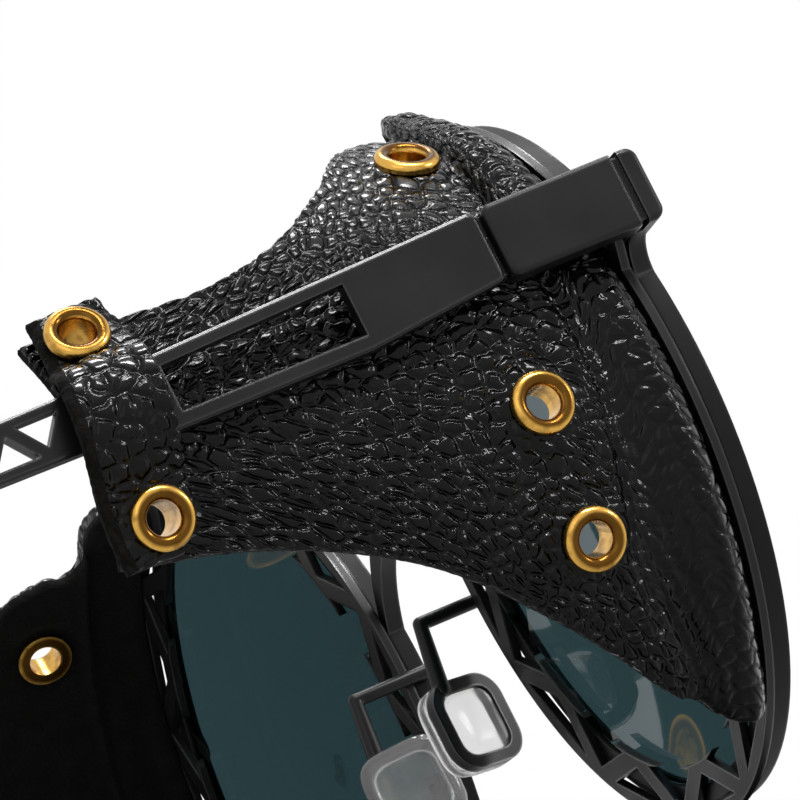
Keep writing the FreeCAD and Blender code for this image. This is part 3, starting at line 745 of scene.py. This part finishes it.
def make_brass(node):
    """Brass of one eyelet, stained, with painted shade in its corners and a painted dark reflection in the
    ring between its bore and the outer edge of its flange.
    """
    made, tree, shader = blank("stained_shaded_brass_" + node)
    place = coords(tree, "Object")
    centre, direction = axis_of(node)
    from_centre = add(tree, "ShaderNodeVectorMath", {0: place, 1: centre}, operation="SUBTRACT")
    sides = {0: from_centre.outputs["Vector"], 1: direction}
    turned = add(tree, "ShaderNodeVectorMath", sides, operation="CROSS_PRODUCT").outputs["Vector"]
    radius = add(tree, "ShaderNodeVectorMath", {0: turned}, operation="LENGTH").outputs["Value"]
    # Painted reflection: a dark ring between the bore and the flange's outer edge stands in for the dark
    # leather that the brass would mirror there.
    inner_side = mapped(tree, radius, *dark_reflection_inside, 0.0, 1.0)
    dark_reflection_ring = maths(tree, "MULTIPLY", inner_side, mapped(tree, radius, *dark_reflection_outside, dark_reflection_share, 0.0))
    stains = speckle(tree, place, stain_scale, detail=5.0)
    scratches = speckle(tree, place, scratch_scale, detail=2.0)
    # Painted shade: the brass colour darkens where the ambient occlusion finds corners; the stains beside it
    # are the metal's own.
    corner_shade = add(tree, "ShaderNodeAmbientOcclusion", {"Distance": corner_shade_reach}, samples=corner_shade_samples)
    unshaded_metal = mapped(tree, corner_shade.outputs["AO"], *corner_shade_span, 0.0, 1.0)
    stains_and_shade = maths(tree, "MULTIPLY", unshaded_metal, mapped(tree, stains, *stain_span, stain_share, 1.0))
    lit_and_clean = maths(tree, "MULTIPLY", stains_and_shade, maths(tree, "SUBTRACT", 1.0, dark_reflection_ring))
    tree.links.new(tint(tree, lit_and_clean, brass_dark, brass_light), shader.inputs["Base Color"])
    tree.links.new(mapped(tree, stains, *noise_span, *brass_roughness), shader.inputs["Roughness"])
    shader.inputs["Metallic"].default_value = 1.0
    raise_by(tree, shader, scratches, scratch_depth)
    return made


def make_lens():
    made, tree, shader = blank("teal_lens")
    place = coords(tree, "Object")
    cloud = speckle(tree, place, lens_cloud_scale, detail=1.0)
    tree.links.new(tint(tree, cloud, lens_dark, lens_light), shader.inputs["Base Color"])
    tree.links.new(mapped(tree, cloud, *noise_span, *lens_roughness), shader.inputs["Roughness"])
    shader.inputs["Transmission Weight"].default_value = 1.0
    shader.inputs["IOR"].default_value = clear_ior
    return made


def make_silicone():
    made, tree, shader = blank("clear_silicone")
    place = coords(tree, "Object")
    cloud = speckle(tree, place, silicone_cloud_scale)
    tree.links.new(tint(tree, cloud, silicone_dark, silicone_light), shader.inputs["Base Color"])
    tree.links.new(mapped(tree, cloud, *noise_span, *silicone_roughness), shader.inputs["Roughness"])
    shader.inputs["Transmission Weight"].default_value = silicone_clearness
    shader.inputs["IOR"].default_value = clear_ior
    return made


leather = make_leather()
grain_nodes = make_grain_nodes()
flesh_side = make_flesh_side()
silicone = make_silicone()
black_metal = make_metal(
    "satin_black_metal", dark=(0.0045, 0.0047, 0.005), light=(0.008, 0.0083, 0.0087),
    roughness=(0.3, 0.4), metallic=0, shine=0.2, edge_coat=0.8)
rim_metal = make_metal(
    "matt_black_metal", dark=(0.003, 0.003, 0.003), light=(0.006, 0.006, 0.006),
    roughness=(0.45, 0.55), metallic=0, shine=0.14, edge_coat=0.2)
guard_metal = make_metal(
    "worn_black_metal", dark=(0.006, 0.006, 0.006), light=(0.012, 0.012, 0.012),
    roughness=(0.35, 0.45), metallic=0, shine=0.2, edge_coat=0.6)
screw_steel = make_metal(
    "dark_steel", dark=(0.16, 0.16, 0.165), light=(0.3, 0.3, 0.3),
    roughness=(0.25, 0.4), metallic=1, shine=0.5, edge_coat=0.0)
tip_plastic = make_metal(
    "black_plastic", dark=(0.004, 0.004, 0.0043), light=(0.007, 0.007, 0.0073),
    roughness=(0.25, 0.35), metallic=0, shine=0.2, edge_coat=0.0)
lens_tint = make_lens()

# Finishes of the CAD nodes, by the start of the node's name
finishes = {
    "bridge": black_metal,
    "rim": rim_metal,
    "end_piece": black_metal,
    "hinge_front": black_metal,
    "hinge_temple": black_metal,
    "hinge_screw": screw_steel,
    "temple_tip": tip_plastic,
    "temple_right": black_metal,
    "temple_left": black_metal,
    "guard_ring": guard_metal,
    "lens": lens_tint,
    "nose_pad_frame": black_metal,
    "side_shield": leather,
    "shield_strap": leather,
    "nose_pad_right": silicone,
    "nose_pad_left": silicone,
}
for node_name, node_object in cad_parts.items():
    if node_name.startswith("eyelet"):
        finish = make_brass(node_name)
    else:
        finish = finishes[max((s for s in finishes if node_name.startswith(s)), key=len)]
    node_object.data.materials.clear()
    node_object.data.materials.append(finish)

# Soft pieces, built on the positive side and mirrored by the sign of the side
panel_eyelets = ("front_top", "front_middle", "front_bottom", "rear_top", "rear_bottom")
holes = {name: axis_of("eyelet_" + name + "_left") for name in panel_eyelets}
for side_name, side in (("right", -1), ("left", 1)):
    temple_body = "temple_" + side_name
    leather_panel = panel("leather_panel_" + side_name, side, holes)
    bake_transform(leather_panel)
    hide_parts("side_shield_" + side_name)

    rear_holes = {name: axis for name, axis in holes.items() if "rear" in name}
    leather_strap = strap("leather_strap_" + side_name, side, rear_holes)
    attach(leather_strap, temple_body)
    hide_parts("shield_strap_" + side_name)

    cushion = nose_cushion("silicone_pad_" + side_name, "nose_pad_" + side_name, side)
    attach(cushion, "front")
    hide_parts("nose_pad_" + side_name)

# Camera
back = Vector((
    math.sin(camera_azimuth) * math.cos(camera_elevation),
    -math.cos(camera_azimuth) * math.cos(camera_elevation),
    math.sin(camera_elevation)))
level = Vector((math.cos(camera_azimuth), math.sin(camera_azimuth), 0))
upright = back.cross(level)
right = math.cos(camera_roll) * level + math.sin(camera_roll) * upright
up = math.cos(camera_roll) * upright - math.sin(camera_roll) * level
camera_data = bpy.data.cameras.new("camera")
camera_data.sensor_width = sensor_width / MM
camera_data.lens = sensor_width / MM * focal_pixels / photo_width
camera = bpy.data.objects.new("camera", camera_data)
facing = Matrix((right, up, back)).transposed().to_4x4()
camera.matrix_world = Matrix.Translation(camera_target + back * camera_distance) @ facing
bpy.context.scene.collection.objects.link(camera)
bpy.context.scene.camera = camera


def lamp(name, direction, distance, width, height, power):
    """A soft light that shines on the object from a direction, its width along the picture's width."""
    data = bpy.data.lights.new(name, "AREA")
    data.shape = "RECTANGLE"
    data.size = width
    data.size_y = height
    data.energy = power
    made = bpy.data.objects.new(name, data)
    way = direction.normalized()
    across = (right - right.dot(way) * way).normalized()
    turn = Matrix((across, way.cross(across), way)).transposed().to_4x4()
    made.matrix_world = Matrix.Translation(camera_target + way * distance) @ turn
    made.visible_camera = False
    bpy.context.scene.collection.objects.link(made)


for lamp_name, to_right, to_up, to_back, distance, width, height, power in lamps:
    lamp(lamp_name, right * to_right + up * to_up + back * to_back, distance, width, height, power)

# Floor and surroundings: the floor shows only from above, and the world is white to the eye
half = floor_size / 2
floor_corners = [(-half, -half, 0), (half, -half, 0), (half, half, 0), (-half, half, 0)]
floor_mesh = bpy.data.meshes.new("floor")
floor_mesh.from_pydata(floor_corners, [], [(0, 1, 2, 3)])
floor = bpy.data.objects.new("floor", floor_mesh)
bpy.context.scene.collection.objects.link(floor)
floor_paint, floor_tree, floor_shader = blank("pale_floor")
grit = speckle(floor_tree, coords(floor_tree, "Object"), floor_grit_scale)
floor_tone = tint(floor_tree, grit, floor_dark, floor_light)
floor_tree.links.new(floor_tone, floor_shader.inputs["Base Color"])
floor_shader.inputs["Roughness"].default_value = floor_roughness
under_side = add(floor_tree, "ShaderNodeNewGeometry").outputs["Backfacing"]
clear = add(floor_tree, "ShaderNodeBsdfTransparent").outputs[0]
switch = add(floor_tree, "ShaderNodeMixShader", {0: under_side, 1: floor_shader.outputs[0], 2: clear})
floor_tree.links.new(switch.outputs[0], floor_tree.nodes["Material Output"].inputs["Surface"])
floor_mesh.materials.append(floor_paint)

world = bpy.data.worlds.new("studio")
world.use_nodes = True
bpy.context.scene.world = world
sky = world.node_tree
seen = add(sky, "ShaderNodeLightPath")
mirrored = maths(sky, "MAXIMUM", seen.outputs["Is Glossy Ray"], seen.outputs["Is Transmission Ray"])
direct = maths(sky, "MAXIMUM", seen.outputs["Is Camera Ray"], mirrored)
strength = mapped(sky, direct, 0.0, 1.0, room_light, 1.0)
background = sky.nodes["Background"]
background.inputs["Color"].default_value = (1, 1, 1, 1)
sky.links.new(strength, background.inputs["Strength"])
bpy.context.scene.view_settings.view_transform = "Standard"
